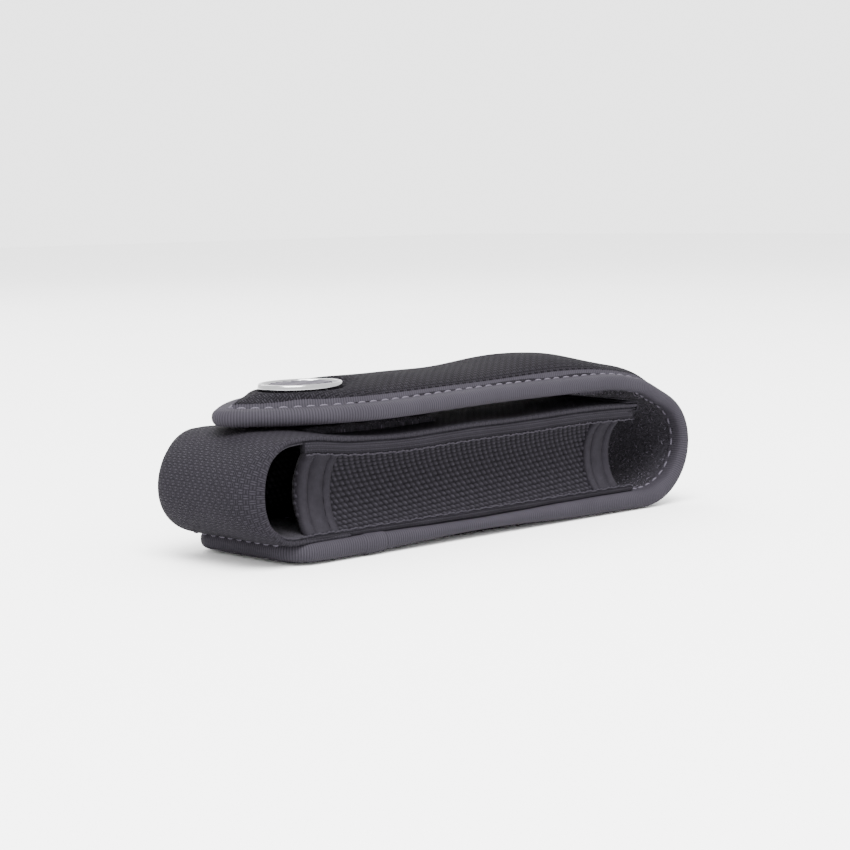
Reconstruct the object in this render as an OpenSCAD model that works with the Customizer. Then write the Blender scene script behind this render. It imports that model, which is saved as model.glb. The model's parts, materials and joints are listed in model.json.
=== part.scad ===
// Flap-top belt pouch for a folding multi tool.
// It lies on its back: +X points to the mouth, +Z out through the flap, and Z = 0 is the surface below it.

/* [Overall size] */
// Length from the rounded closed end to the outside of the mouth curve
pouch_l = 128; // [115:1:150]
// Width of the back panel and of the flap
panel_w = 34; // [33:0.5:44]
// Width of the front strap
strap_w = 32; // [31:0.5:41]
// Height of the flap's outer face above the ground
flap_top = 31.6; // [30.5:0.1:36]
// Height of the back panel's underside above the ground
back_lift = 1; // [0.8:0.1:1.6]
// Height of the front strap's outer face above the ground
front_top = 24.05; // [22.5:0.05:25]

/* [Padded panel] */
// Thickness of the bound edge
bound_t = 3.2; // [2.8:0.1:4]
// How far the binding tape covers each face
binding_w = 4.5; // [3:0.1:6]
// Thickness of one layer of binding tape
tape_t = 0.4; // [0.3:0.05:0.5]
// Thickness of the tape where it rolls round the edge
edge_t = 0.6; // [0.4:0.05:1]
// Thickness of the nylon face
nylon_t = 0.8; // [0.6:0.05:0.9]
// Thickness of the brushed lining
lining_t = 0.6; // [0.4:0.05:0.7]
// Corner radius of the back panel
back_corner_r = 7; // [3:0.5:10]
// Gap between the closed end and the back panel's lower edge
back_setback = 7; // [4:0.5:9]

/* [Flap] */
// Gap between the closed end and the flap's tip
tip_setback = 3.3; // [1:0.1:8]
// Distance from the closed end to where the flap reaches its full width
flap_full_x = 38; // [32:1:50]
// Radius of the flap's tip
tip_r = 4.5; // [3.5:0.1:6]
// How far the flap's padding stands above its bound edge
pad_rise = 1.9; // [0.5:0.1:2.2]

/* [Front strap] */
// Thickness of the strap with its lining
strap_t = 1.6; // [1.5:0.05:2]
// Thickness of the strap's nylon
strap_nylon_t = 0.95; // [0.7:0.05:1]
// Width of the strap's turned hem
hem_w = 2.5; // [2:0.1:4]
// Gap between the mouth curve's outside and the strap's mouth end
mouth_setback = 17; // [16.5:0.5:20]
// Length of the strap's end sewn to the back panel
strap_lap = 14; // [10:1:24]

/* [Side gussets] */
// How far a gusset caves in at its middle
gusset_sag = 4.2; // [2.5:0.1:5]
// Thickness of the gusset cloth
gusset_t = 0.9; // [0.7:0.05:1.1]
// Distance from the closed end to a gusset's lower end
gusset_start = 11.5; // [11:0.5:14]
// Length of a gusset with its end tapes
gusset_l = 96; // [88:1:96]
// Width of the tape on each gusset end
end_tape_w = 11; // [8:0.5:12]
// Width of a gusset's seam allowance
seam_w = 3; // [2:0.1:3.2]

/* [Closure and badge] */
// Length of the hook and loop patches
patch_l = 36; // [20:1:44]
// Width of the hook and loop patches
patch_w = 16; // [10:1:18]
// Length of the badge, along the pouch
badge_l = 19; // [12:0.5:20]
// Width of the badge
badge_w = 15; // [10:0.5:16]
// Distance from the closed end to the badge's middle
badge_x = 25; // [20:0.5:34]

/* [Belt loop] */
// Width of the belt loop's webbing
loop_w = 22; // [16:1:26]
// Clear length of the belt loop between its sewn ends
loop_l = 62; // [40:1:64]
// Length of each sewn end
loop_end_l = 9; // [7:0.5:12]
// Distance from the closed end to the belt loop's middle
loop_x = 62; // [55:1:66]

/* [Hidden] */

$fn = 64;
nylon_black = [0.15, 0.15, 0.17];
tape_grey = [0.27, 0.26, 0.29];
lining_black = [0.10, 0.10, 0.11];
foam_grey = [0.35, 0.35, 0.36];
mesh_black = [0.12, 0.12, 0.14];
thread_grey = [0.55, 0.55, 0.57];
bright_metal = [0.80, 0.81, 0.83];

ply_gap = 0.05;              // between the layers of one panel
body_gap = 0.4;              // between panels on two sides of a fold line
x0 = -pouch_l / 2;           // the closed end
x1 = pouch_l / 2;            // outside of the mouth curve
far = 2 * pouch_l;           // longer than anything here

// Mouth curve: half a turn between the back panel and the flap, seen along Y
fold_r = (flap_top - back_lift) / 2;
fold_x = x1 - fold_r;
fold_z = back_lift + fold_r;
fold_gap_deg = body_gap / fold_r * 90 / PI;

// Depths of a panel's layers below its outer face
nylon_in = tape_t + ply_gap;
lining_out = bound_t - tape_t - ply_gap;
foam_in = nylon_in + nylon_t + ply_gap;
foam_out = lining_out - lining_t - ply_gap;

back_x0 = x0 + back_setback;
tip_x = x0 + tip_setback + tip_r;
flap_x1 = fold_x - body_gap / 2;
pad_in = 5.3;                // the raised padding's distance from the flap's edge
pad_x1 = fold_x - 3;
ogive_x = x0 + flap_full_x;
ogive_r = (pow(ogive_x - tip_x, 2) + pow(panel_w / 2, 2) - pow(tip_r, 2)) / (panel_w - 2 * tip_r);
ogive_deg = asin((ogive_x - tip_x) / (ogive_r - tip_r));

// The strap's closed end: half a turn that lies on the back panel's binding
strap_z0 = back_lift + bound_t + ply_gap;
end_r = (front_top - strap_z0) / 2;
end_x = x0 + end_r;
end_z = strap_z0 + end_r;
strap_x1 = x1 - mouth_setback;
strap_under = front_top - strap_t;
hem_t = strap_t - strap_nylon_t;
mouth_tape_w = 4;

// A gusset's cross-section is part of a ring whose centre lies outside the pouch
gusset_z0 = strap_z0;
gusset_z1 = strap_under - ply_gap;
gusset_h = gusset_z1 - gusset_z0;
gusset_y = strap_w / 2 - 0.25;
gusset_r = (pow(gusset_h / 2, 2) + pow(gusset_sag, 2)) / (2 * gusset_sag);
gusset_cy = gusset_y + gusset_r - gusset_sag;
gusset_cz = (gusset_z0 + gusset_z1) / 2;
gusset_x0 = x0 + gusset_start;
gusset_x1 = gusset_x0 + gusset_l;
seam_t = 0.6;
cover_t = 0.45;

// Hook and loop meet between the front strap and the flap
patch_lead = 6;              // how far the patches reach past the badge's middle, towards the tip
patch_x = x0 + badge_x + patch_l / 2 - patch_lead;
loop_pile_t = 2.05;
loop_z0 = front_top + ply_gap;
flap_under = flap_top - lining_out;
hook_z0 = loop_z0 + loop_pile_t + 0.3;

// The badge stands on the flap's nylon, and two prongs clench over a plate in the padding
badge_z = flap_top - nylon_in + pad_rise;
rim_h = 1.4;
rim_w = 1.3;
plate_h = 0.8;
rib_count = 5;
prong_r = 0.6;
prong_hole_r = 0.65;
prong_x = 4.5;
backing_l = 13;
backing_w = 6;
backing_t = 0.35;
backing_top = badge_z - nylon_t - 0.45;

loop_web_t = 0.9;
loop_end_t = back_lift + nylon_in - ply_gap;
bartack_l = loop_w - 4;
bartack_w = 1.6;
bartack_t = 0.35;

// Points of an arc about (cx, cy), from angle a0 to a1
function arc(cx, cy, r, a0, a1, steps = 24) =
    [for (i = [0 : steps]) let (a = a0 + (a1 - a0) * i / steps) [cx + r * cos(a), cy + r * sin(a)]];

// Points of an ellipse of half axes a and b
function ellipse_points(a, b, steps = 60) =
    [for (i = [0 : steps - 1]) [a * cos(360 * i / steps), b * sin(360 * i / steps)]];

// Extrudes an outline drawn in X and Z right across the pouch
module across(w = far) {
    rotate([90, 0, 0]) linear_extrude(height = w, center = true) children();
}

// One layer of the back panel and the lower half of the mouth curve, from depth d0 to d1
module back_ribbon(d0, d1) {
    across() polygon(concat(
        [[x0, back_lift + d0]],
        arc(fold_x, fold_z, fold_r - d0, -90, -fold_gap_deg),
        arc(fold_x, fold_z, fold_r - d1, -fold_gap_deg, -90),
        [[x0, back_lift + d1]]));
}

// One layer of the upper half of the mouth curve
module spine_ribbon(d0, d1) {
    across() polygon(concat(
        arc(fold_x, fold_z, fold_r - d0, fold_gap_deg, 90 - fold_gap_deg),
        arc(fold_x, fold_z, fold_r - d1, 90 - fold_gap_deg, fold_gap_deg)));
}

// One layer of the flap
module flap_ribbon(d0, d1) {
    translate([x0 - 1, -far / 2, flap_top - d1]) cube([flap_x1 - x0 + 1, far, d1 - d0]);
}

// The back panel's outline seen from above, drawn in by d
module back_plan(d) {
    r = back_corner_r - d;
    half = panel_w / 2;
    translate([0, 0, -1]) linear_extrude(height = far) polygon(concat(
        [[far, half - d]],
        arc(back_x0 + back_corner_r, half - back_corner_r, r, 90, 180, 10),
        arc(back_x0 + back_corner_r, back_corner_r - half, r, 180, 270, 10),
        [[far, d - half]]));
}

// The flap's outline: straight sides, an ogive and a round tip
module flap_plan(d) {
    side = arc(ogive_x, ogive_r - panel_w / 2, ogive_r - d, 270, 270 - ogive_deg, 20);
    tip = arc(tip_x, 0, tip_r - d, 270 - ogive_deg, 90 + ogive_deg, 12);
    other = [for (i = [len(side) - 1 : -1 : 0]) [side[i][0], -side[i][1]]];
    translate([0, 0, -1]) linear_extrude(height = far) polygon(concat(
        [[far, d - panel_w / 2]], side, tip, other, [[far, panel_w / 2 - d]]));
}

// The raised middle of the flap, from depth d0 down to d1: its sides meet in a point, d in from the edge
module flap_pad(d0, d1, d) {
    sweep = acos((ogive_r - panel_w / 2) / (ogive_r - d));
    side = arc(ogive_x, ogive_r - panel_w / 2, ogive_r - d, 270, 270 - sweep, 20);
    other = [for (i = [len(side) - 2 : -1 : 0]) [side[i][0], -side[i][1]]];
    translate([0, 0, flap_top - d1]) linear_extrude(height = d1 - d0) polygon(concat(
        [[pad_x1 - d, d - panel_w / 2]], side, other, [[pad_x1 - d, panel_w / 2 - d]]));
}

// The mouth curve's outline seen from above: a plain strip
module spine_plan(d) {
    translate([-far / 2, d - panel_w / 2, -1]) cube([far, panel_w - 2 * d, far]);
}

// One layer of the front strap, from depth d0 to d1, between y0 and y1
module strap_ribbon(d0, d1, y0, y1) {
    translate([0, (y0 + y1) / 2, 0]) across(y1 - y0) polygon(concat(
        [[end_x + strap_lap, strap_z0 + d0]],
        arc(end_x, end_z, end_r - d0, 270, 90, 32),
        [[strap_x1, front_top - d0], [strap_x1, front_top - d1]],
        arc(end_x, end_z, end_r - d1, 90, 270, 32),
        [[end_x + strap_lap, strap_z0 + d1]]));
}

// A stretch of a gusset's wall, from x_a to x_b, grown by g on both faces
module gusset_wall(x_a, x_b, g, trim = 0) {
    translate([x_a, 0, 0]) rotate([90, 0, 90]) linear_extrude(height = x_b - x_a)
        intersection() {
            translate([-gusset_cy, gusset_cz]) difference() {
                circle(r = gusset_r + gusset_t + g);
                circle(r = gusset_r - g);
            }
            translate([-gusset_y - 1, gusset_z0 + trim]) square([far, gusset_h - 2 * trim]);
        }
}

// The sewn end of the strap, with a ply's clearance: a gusset climbs over it
module strap_end_space() {
    translate([end_x, -strap_w, strap_z0 - ply_gap])
        cube([strap_lap + ply_gap, 2 * strap_w, strap_t + 2 * ply_gap]);
}

module gusset() {
    difference() {
        union() {
            gusset_wall(gusset_x0 + edge_t, gusset_x1 - edge_t, 0);
            for (z = [gusset_z0, gusset_z1 - seam_t])
                translate([gusset_x0 + edge_t, -gusset_y, z])
                    cube([gusset_l - 2 * edge_t, seam_w, seam_t]);
        }
        strap_end_space();
    }
}

// Tape folded over a gusset's end, from x_a to x_b
module end_tape(x_a, x_b) {
    difference() {
        gusset_wall(x_a, x_b, cover_t, seam_t + ply_gap);
        gusset_wall(gusset_x0 + edge_t - ply_gap, gusset_x1 - edge_t + ply_gap, ply_gap);
        strap_end_space();
    }
}

module prong_pair(r, z_a, z_b) {
    for (s = [-1, 1])
        translate([x0 + badge_x + s * prong_x, 0, z_a]) cylinder(r = r, h = z_b - z_a);
}

// ---- back panel
module back_outer() {
    color(nylon_black) intersection() {
        back_ribbon(nylon_in, nylon_in + nylon_t);
        back_plan(edge_t);
    }
}

module back_stiffener() {
    color(foam_grey) intersection() {
        back_ribbon(foam_in, foam_out);
        back_plan(edge_t);
    }
}

module back_lining() {
    color(lining_black) intersection() {
        back_ribbon(lining_out - lining_t, lining_out);
        back_plan(edge_t);
    }
}

module back_binding() {
    color(tape_grey) difference() {
        intersection() {
            back_ribbon(0, bound_t);
            back_plan(0);
        }
        back_plan(binding_w);
        intersection() {
            back_ribbon(tape_t, bound_t - tape_t);
            back_plan(edge_t - ply_gap);
        }
    }
}

// ---- front strap
module front_outer() {
    half = strap_w / 2;
    color(nylon_black) {
        strap_ribbon(0, strap_nylon_t, -half, half);
        strap_ribbon(strap_nylon_t, strap_t, -half, hem_w - half);
        strap_ribbon(strap_nylon_t, strap_t, half - hem_w, half);
    }
}

module front_lining() {
    half = strap_w / 2 - hem_w - ply_gap;
    color(lining_black) strap_ribbon(strap_nylon_t + ply_gap, strap_t, -half, half);
}

module mouth_binding() {
    color(tape_grey) difference() {
        translate([strap_x1 + edge_t - mouth_tape_w, -strap_w / 2, strap_under - tape_t])
            cube([mouth_tape_w, strap_w, strap_t + 2 * tape_t]);
        translate([strap_x1 - mouth_tape_w, -strap_w, strap_under - ply_gap])
            cube([mouth_tape_w + ply_gap, 2 * strap_w, strap_t + 2 * ply_gap]);
    }
}

// ---- gussets
module near_gusset() {
    color(mesh_black) gusset();
}

module far_gusset() {
    color(mesh_black) mirror([0, 1, 0]) gusset();
}

module near_bottom_tape() {
    color(tape_grey) end_tape(gusset_x0, gusset_x0 + end_tape_w);
}

module far_bottom_tape() {
    color(tape_grey) mirror([0, 1, 0]) end_tape(gusset_x0, gusset_x0 + end_tape_w);
}

module near_mouth_tape() {
    color(tape_grey) end_tape(gusset_x1 - end_tape_w, gusset_x1);
}

module far_mouth_tape() {
    color(tape_grey) mirror([0, 1, 0]) end_tape(gusset_x1 - end_tape_w, gusset_x1);
}

// ---- hook and loop
module loop_patch() {
    color(lining_black) translate([patch_x - patch_l / 2, -patch_w / 2, loop_z0])
        cube([patch_l, patch_w, loop_pile_t]);
}

module hook_patch() {
    color(nylon_black) translate([patch_x - patch_l / 2, -patch_w / 2, hook_z0])
        cube([patch_l, patch_w, flap_under - ply_gap - hook_z0]);
}

// ---- mouth curve
module spine_outer() {
    color(nylon_black) intersection() {
        spine_ribbon(nylon_in, nylon_in + nylon_t);
        spine_plan(edge_t);
    }
}

module spine_stiffener() {
    color(foam_grey) intersection() {
        spine_ribbon(foam_in, foam_out);
        spine_plan(edge_t);
    }
}

module spine_lining() {
    color(lining_black) intersection() {
        spine_ribbon(lining_out - lining_t, lining_out);
        spine_plan(edge_t);
    }
}

module spine_binding() {
    color(tape_grey) difference() {
        intersection() {
            spine_ribbon(0, bound_t);
            spine_plan(0);
        }
        spine_plan(binding_w);
        intersection() {
            spine_ribbon(tape_t, bound_t - tape_t);
            spine_plan(edge_t - ply_gap);
        }
    }
}

// ---- flap
module flap_outer() {
    color(nylon_black) difference() {
        union() {
            intersection() {
                flap_ribbon(nylon_in, nylon_in + nylon_t);
                flap_plan(edge_t);
            }
            flap_pad(nylon_in - pad_rise, nylon_in + nylon_t, pad_in - nylon_t);
        }
        flap_pad(nylon_in - pad_rise + nylon_t, bound_t, pad_in);
        prong_pair(prong_hole_r, 0, far);
    }
}

module flap_stiffener() {
    color(foam_grey) difference() {
        union() {
            intersection() {
                flap_ribbon(foam_in, foam_out);
                flap_plan(edge_t);
            }
            flap_pad(foam_in - pad_rise, foam_out, pad_in + ply_gap);
        }
        prong_pair(prong_hole_r, 0, far);
        translate([x0 + badge_x - backing_l / 2, -backing_w / 2, 0])
            cube([backing_l, backing_w, backing_top + ply_gap]);
    }
}

module flap_lining() {
    color(lining_black) intersection() {
        flap_ribbon(lining_out - lining_t, lining_out);
        flap_plan(edge_t);
    }
}

module flap_binding() {
    color(tape_grey) difference() {
        intersection() {
            flap_ribbon(0, bound_t);
            flap_plan(0);
        }
        flap_plan(binding_w - 0.3);
        intersection() {
            flap_ribbon(tape_t, bound_t - tape_t);
            flap_plan(edge_t - ply_gap);
        }
    }
}

// ---- badge
module badge_rim() {
    color(bright_metal) translate([x0 + badge_x, 0, badge_z]) linear_extrude(height = rim_h)
        difference() {
            polygon(ellipse_points(badge_l / 2, badge_w / 2));
            polygon(ellipse_points(badge_l / 2 - rim_w, badge_w / 2 - rim_w));
        }
}

module badge_plate() {
    a = badge_l / 2 - rim_w - ply_gap;
    b = badge_w / 2 - rim_w - ply_gap;
    pitch = 2 * b / (rib_count + 1);
    color(bright_metal) {
        translate([x0 + badge_x, 0, badge_z]) linear_extrude(height = plate_h)
            polygon(ellipse_points(a, b));
        translate([x0 + badge_x, 0, badge_z]) linear_extrude(height = plate_h + 0.35)
            intersection() {
                polygon(ellipse_points(a - 0.5, b - 0.5));
                for (i = [1 : rib_count]) translate([-a, i * pitch - b - 0.4]) square([2 * a, 0.8]);
            }
        prong_pair(prong_r, backing_top - backing_t, badge_z + 0.1);
    }
}

module badge_backing() {
    color(bright_metal) difference() {
        translate([x0 + badge_x - backing_l / 2 + ply_gap, ply_gap - backing_w / 2, backing_top - backing_t])
            cube([backing_l - 2 * ply_gap, backing_w - 2 * ply_gap, backing_t]);
        prong_pair(prong_hole_r, 0, far);
    }
}

// ---- belt loop
module loop_end(x_mid) {
    difference() {
        translate([x_mid - loop_end_l / 2, -loop_w / 2, 0]) cube([loop_end_l, loop_w, loop_end_t]);
        for (s = [-1, 1])
            translate([x_mid + s * loop_end_l / 4 - bartack_w / 2, -bartack_l / 2, -1])
                cube([bartack_w, bartack_l, 1 + bartack_t]);
    }
}

function loop_end_x(s) = x0 + loop_x + s * (loop_l + loop_end_l) / 2;

module belt_loop_top_end() {
    color(nylon_black) loop_end(loop_end_x(1));
}

module belt_loop_bottom_end() {
    color(nylon_black) loop_end(loop_end_x(-1));
}

module bartacks() {
    color(thread_grey) for (e = [-1, 1], s = [-1, 1])
        translate([loop_end_x(e) + s * loop_end_l / 4 - bartack_w / 2 + ply_gap,
                   ply_gap - bartack_l / 2, ply_gap])
            cube([bartack_w - 2 * ply_gap, bartack_l - 2 * ply_gap, bartack_t - 2 * ply_gap]);
}

module belt_loop_web() {
    color(nylon_black) translate([x0 + loop_x - loop_l / 2 + body_gap, -loop_w / 2, 0])
        cube([loop_l - 2 * body_gap, loop_w, loop_web_t]);
}

back_outer();
back_stiffener();
back_lining();
back_binding();
front_outer();
front_lining();
mouth_binding();
near_gusset();
far_gusset();
near_bottom_tape();
far_bottom_tape();
near_mouth_tape();
far_mouth_tape();
loop_patch();
belt_loop_top_end();
belt_loop_bottom_end();
bartacks();
spine_outer();
spine_stiffener();
spine_lining();
spine_binding();
flap_outer();
flap_stiffener();
flap_lining();
flap_binding();
hook_patch();
badge_rim();
badge_plate();
badge_backing();
belt_loop_web();
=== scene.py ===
"""The looks of a multi tool's belt pouch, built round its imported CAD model.

Sizes in this file are in millimetres until a mesh is made. The padded panel is one long strip: it
runs along the back, round the mouth curve and over the flap. A point on it has a distance s along
the strip, a distance y from the middle line and a depth below the outer face.
"""
import json
import math

import bmesh
import bpy
import numpy as np
from mathutils import Matrix, Vector


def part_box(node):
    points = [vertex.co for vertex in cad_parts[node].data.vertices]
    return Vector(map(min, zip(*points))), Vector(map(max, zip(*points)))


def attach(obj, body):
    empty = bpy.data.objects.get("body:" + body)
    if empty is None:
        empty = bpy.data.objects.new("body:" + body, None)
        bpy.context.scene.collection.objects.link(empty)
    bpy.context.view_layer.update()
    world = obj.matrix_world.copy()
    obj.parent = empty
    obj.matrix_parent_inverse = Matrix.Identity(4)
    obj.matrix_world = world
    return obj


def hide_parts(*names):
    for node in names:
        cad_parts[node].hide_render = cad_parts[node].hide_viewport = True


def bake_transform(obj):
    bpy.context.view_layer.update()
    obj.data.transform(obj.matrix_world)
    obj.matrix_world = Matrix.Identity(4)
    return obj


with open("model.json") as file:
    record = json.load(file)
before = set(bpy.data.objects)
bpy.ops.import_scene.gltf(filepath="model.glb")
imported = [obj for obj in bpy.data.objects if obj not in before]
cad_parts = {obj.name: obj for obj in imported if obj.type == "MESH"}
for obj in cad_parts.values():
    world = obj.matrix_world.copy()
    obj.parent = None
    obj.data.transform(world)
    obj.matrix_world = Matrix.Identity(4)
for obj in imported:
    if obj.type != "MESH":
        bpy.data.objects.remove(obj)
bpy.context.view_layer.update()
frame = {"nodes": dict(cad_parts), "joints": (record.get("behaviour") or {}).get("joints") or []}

MM = 0.001


# ---------------------------------------------------------------- sizes from the frame
def corners(node):
    """Lowest and highest corner of a CAD node, in millimetres."""
    low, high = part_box(node)
    return low / MM, high / MM


def joint_point(name):
    joint = next(j for j in frame["joints"] if j["name"] == name)
    return Vector(joint["pos_m"]) / MM


back_low, _ = corners("back_binding")
flap_low, flap_high = corners("flap_binding")
strap_low, strap_high = corners("front_outer")
gusset_low, gusset_high = corners("near_gusset")
rim_low, rim_high = corners("badge_rim")
web_low, web_high = corners("belt_loop_web")
spine_axis = joint_point("spine_fold")
flap_axis = joint_point("flap_fold")

HALF = flap_high.y
BOUND_T = flap_high.z - flap_low.z
FOLD_X = flap_axis.x
FOLD_Z = spine_axis.z
FOLD_R = spine_axis.x - flap_axis.x
X_END = strap_low.x
BACK_CORNER_R = 7.0      # the back's corners
TIP_R = 4.5              # the flap's tip
OGIVE_X = X_END + 38.0   # where the flap's sides start to curve in to the tip
FLANGE = 4.2             # how much of each face the binding covers
NYLON_DEPTH = 0.42       # of the nylon's face below the binding's
LINING_FACE = 2.8        # depth of the lining's face
STITCH_IN = 3.5          # the seam's distance in from the edge
STITCH_PITCH = 3.0
STITCH_DASH = 2.0
RIB_PITCH = 0.6          # of the binding's ribs
END_DRAW = 1.1           # how far the back's bound end is drawn in

# distances along the strip: end of the back, end of the mouth curve, tip of the flap
S_FOLD = FOLD_X - back_low.x
S_FLAP = S_FOLD + math.pi * FOLD_R
S_TIP = S_FLAP + FOLD_X - flap_low.x
S_SPLIT = S_FOLD + 0.75 * math.pi * FOLD_R
S_OGIVE = S_FLAP + FOLD_X - OGIVE_X
S_TIP_MID = S_TIP - TIP_R
OGIVE_R = ((S_TIP_MID - S_OGIVE) ** 2 + HALF**2 - TIP_R**2) / (2 * (HALF - TIP_R))
OGIVE_TURN = math.asin((S_TIP_MID - S_OGIVE) / (OGIVE_R - TIP_R))


def smooth(x, low, high):
    t = np.clip((x - low) / (high - low), 0, 1)
    return t * t * (3 - 2 * t)


def bump(x, middle, width, height):
    return height * np.exp(-(((x - middle) / width) ** 2))


def spread(*values):
    """The values as float arrays of one shape."""
    return np.broadcast_arrays(*[np.asarray(v, float) for v in values])


def points_at(*values):
    """An array of points from their x, y and z."""
    return np.stack(spread(*values), -1)


# ---------------------------------------------------------------- the padded panel
def half_width(s, inset):
    """Half the panel's width at s, for its outline drawn in by inset."""
    s = np.asarray(s, float)
    corner = BACK_CORNER_R - inset
    back = HALF - BACK_CORNER_R + np.sqrt(np.clip(corner**2 - (BACK_CORNER_R - s) ** 2, 0, None))
    ogive = HALF - OGIVE_R + np.sqrt(np.clip((OGIVE_R - inset) ** 2 - (s - S_OGIVE) ** 2, 0, None))
    tip = np.sqrt(np.clip((TIP_R - inset) ** 2 - (s - S_TIP_MID) ** 2, 0, None))
    tangent = S_TIP_MID + (TIP_R - inset) * math.sin(OGIVE_TURN)
    width = np.where(s < BACK_CORNER_R, back, HALF - inset)
    width = np.where(s > S_OGIVE, ogive, width)
    return np.where(s > tangent, tip, width)


def edge_distance(s, y):
    """How far a point of the panel lies in from its bound edge."""
    y = np.abs(y)
    side = HALF - y
    corner = BACK_CORNER_R - np.hypot(BACK_CORNER_R - s, y - HALF + BACK_CORNER_R)
    in_corner = (s < BACK_CORNER_R) & (y > HALF - BACK_CORNER_R)
    near_back = np.where(in_corner, corner, np.minimum(side, s))
    ogive = OGIVE_R - np.hypot(s - S_OGIVE, y + OGIVE_R - HALF)
    tip = np.where(s > S_TIP_MID, TIP_R - np.hypot(s - S_TIP_MID, y), side)
    near_tip = np.where(s > S_OGIVE, np.minimum(ogive, tip), side)
    return np.where(s < S_FOLD, near_back, near_tip)


def edge_sink(s, depth):
    """How far the bound edge has sunk inwards: it sags over the mouth curve and by the badge."""
    on_back = (-0.55 + bump(s, S_FOLD * 0.5, 24, 1.05) + bump(s, 0, 8, 0.4)) * (1 - 0.45 * depth)
    on_back = on_back * (1 - smooth(s, S_FOLD + 4, S_FOLD + 24))
    on_flap = 0.4 * smooth(s, S_FLAP - 12, S_FLAP + 10) + bump(s, S_FLAP + 78, 24, 0.85)
    tip = bump(s, S_TIP - 4, 18, 0.9)
    return on_back + on_flap + tip + bump(s, S_FLAP - 7.5, 10.5, 3.1) - bump(s, S_FOLD + 18.5, 12, 1.1)


def far_lift(s, y):
    """How far the flap's far edge curls up by the tip."""
    return 0.9 * smooth(y, 0, HALF - 4) * smooth(s, S_TIP - 34, S_TIP - 12)


def middle_rise(s):
    """How far the padding's middle stands above the plain outer face."""
    along = s - S_FLAP
    rise = (3.6 + bump(along, 25, 14, 1.7)) * (1 - 0.5 * smooth(s, S_TIP - 16, S_TIP - 5))
    return rise * smooth(along, -14, 18)


def under_badge(s, y):
    """1 where the badge presses the padding flat, and 0 well outside it."""
    x = FOLD_X - (s - S_FLAP)
    a, b = (rim_high.x - rim_low.x) / 2, (rim_high.y - rim_low.y) / 2
    return 1 - smooth(np.hypot((x - (rim_low.x + rim_high.x) / 2) / a, y / b), 1.0, 1.35)


def panel(s, y, depth):
    """Points of the padded panel, as an array of x, y, z."""
    s, y, depth = spread(s, y, depth)
    angle = np.clip((s - S_FOLD) / FOLD_R, 0, math.pi) - math.pi / 2
    inward = edge_distance(s, y)
    edge = edge_sink(s, depth) - far_lift(s, y)
    lift = 0.4 * smooth(inward, 0, FLANGE) * smooth(s, S_FOLD, S_FOLD + 20)
    share = np.clip((inward - FLANGE + 0.3) / (HALF - FLANGE), 0, 1)
    pillow = np.sqrt(1 - (1 - share) ** 2) ** 0.8
    crown = (middle_rise(s) + edge - 0.4) * pillow
    pressed = rim_low.z - FOLD_Z - FOLD_R + NYLON_DEPTH + edge - lift
    crown = crown + (pressed - crown) * under_badge(s, y)
    crown = crown * (1 - 0.7 * smooth(depth, 0.8, 2.6))
    radius = FOLD_R - (depth + edge - lift - crown)
    x = FOLD_X + radius * np.cos(angle) + np.minimum(s - S_FOLD, 0) - np.maximum(s - S_FLAP, 0)
    x = x + END_DRAW * (1 - smooth(s, 0, 14))
    return points_at(x, y, FOLD_Z + radius * np.sin(angle))


def outline_points():
    """The panel's outline from the tape's joint, once round: s, y, outward normal, length so far."""
    step = 0.1

    def line(start, end, normal):
        count = max(2, int(math.dist(start, end) / step))
        t = np.linspace(0, 1, count)[:, None]
        points = np.array(start) * (1 - t) + np.array(end) * t
        return np.hstack([points, np.tile(normal, (count, 1))])

    def arc(middle, radius, turn0, turn1):
        turns = np.linspace(turn0, turn1, max(6, int(radius * (turn1 - turn0) / step)))
        normal = np.stack([np.sin(turns), -np.cos(turns)], -1)
        return np.hstack([np.array(middle) + radius * normal, normal])

    join = 21.0
    turn = OGIVE_TURN
    rest = HALF - BACK_CORNER_R
    parts = [
        line((join, -HALF), (S_OGIVE, -HALF), (0, -1)),
        arc((S_OGIVE, OGIVE_R - HALF), OGIVE_R, 0, turn),
        arc((S_TIP_MID, 0), TIP_R, turn, math.pi - turn),
        arc((S_OGIVE, HALF - OGIVE_R), OGIVE_R, math.pi - turn, math.pi),
        line((S_OGIVE, HALF), (BACK_CORNER_R, HALF), (0, 1)),
        arc((BACK_CORNER_R, rest), BACK_CORNER_R, math.pi, 1.5 * math.pi),
        line((0, rest), (0, -rest), (-1, 0)),
        arc((BACK_CORNER_R, -rest), BACK_CORNER_R, 1.5 * math.pi, 2 * math.pi),
        line((BACK_CORNER_R, -HALF), (join, -HALF), (0, -1)),
    ]
    points = np.vstack(parts)
    steps = np.hypot(*np.diff(points[:, :2], axis=0).T)
    return points, np.concatenate([[0], np.cumsum(steps)])


OUTLINE, OUTLINE_AT = outline_points()
OUTLINE_L = OUTLINE_AT[-1]


def outline(length):
    """s, y and the outward normal at a length along the outline."""
    length = np.mod(length, OUTLINE_L)
    return [np.interp(length, OUTLINE_AT, OUTLINE[:, i]) for i in range(4)]


def by_the_edge(length, inward, depth):
    """A point of the panel by its length along the outline and its distance in from the edge."""
    s, y, out_s, out_y = outline(length)
    return panel(s - out_s * inward, y - out_y * inward, depth)


# the outline crosses from the back's pieces to the flap's pieces here
L_NEAR_SPLIT = OUTLINE_AT[np.argmax(OUTLINE[:, 0] > S_SPLIT)]
L_FAR_SPLIT = OUTLINE_AT[len(OUTLINE) - 1 - np.argmax(OUTLINE[::-1, 0] > S_SPLIT)]


# ---------------------------------------------------------------- the front strap
STRAP_T = 1.6
STRAP_HALF = strap_high.y
STRAP_TOP = strap_high.z
STRAP_R = (strap_high.z - strap_low.z) / 2
STRAP_MID = Vector((X_END + STRAP_R, 0, strap_low.z + STRAP_R))
STRAP_LAP = 14.0
Q_END = STRAP_LAP + math.pi * STRAP_R
Q_MOUTH = Q_END + strap_high.x - STRAP_MID.x


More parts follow.
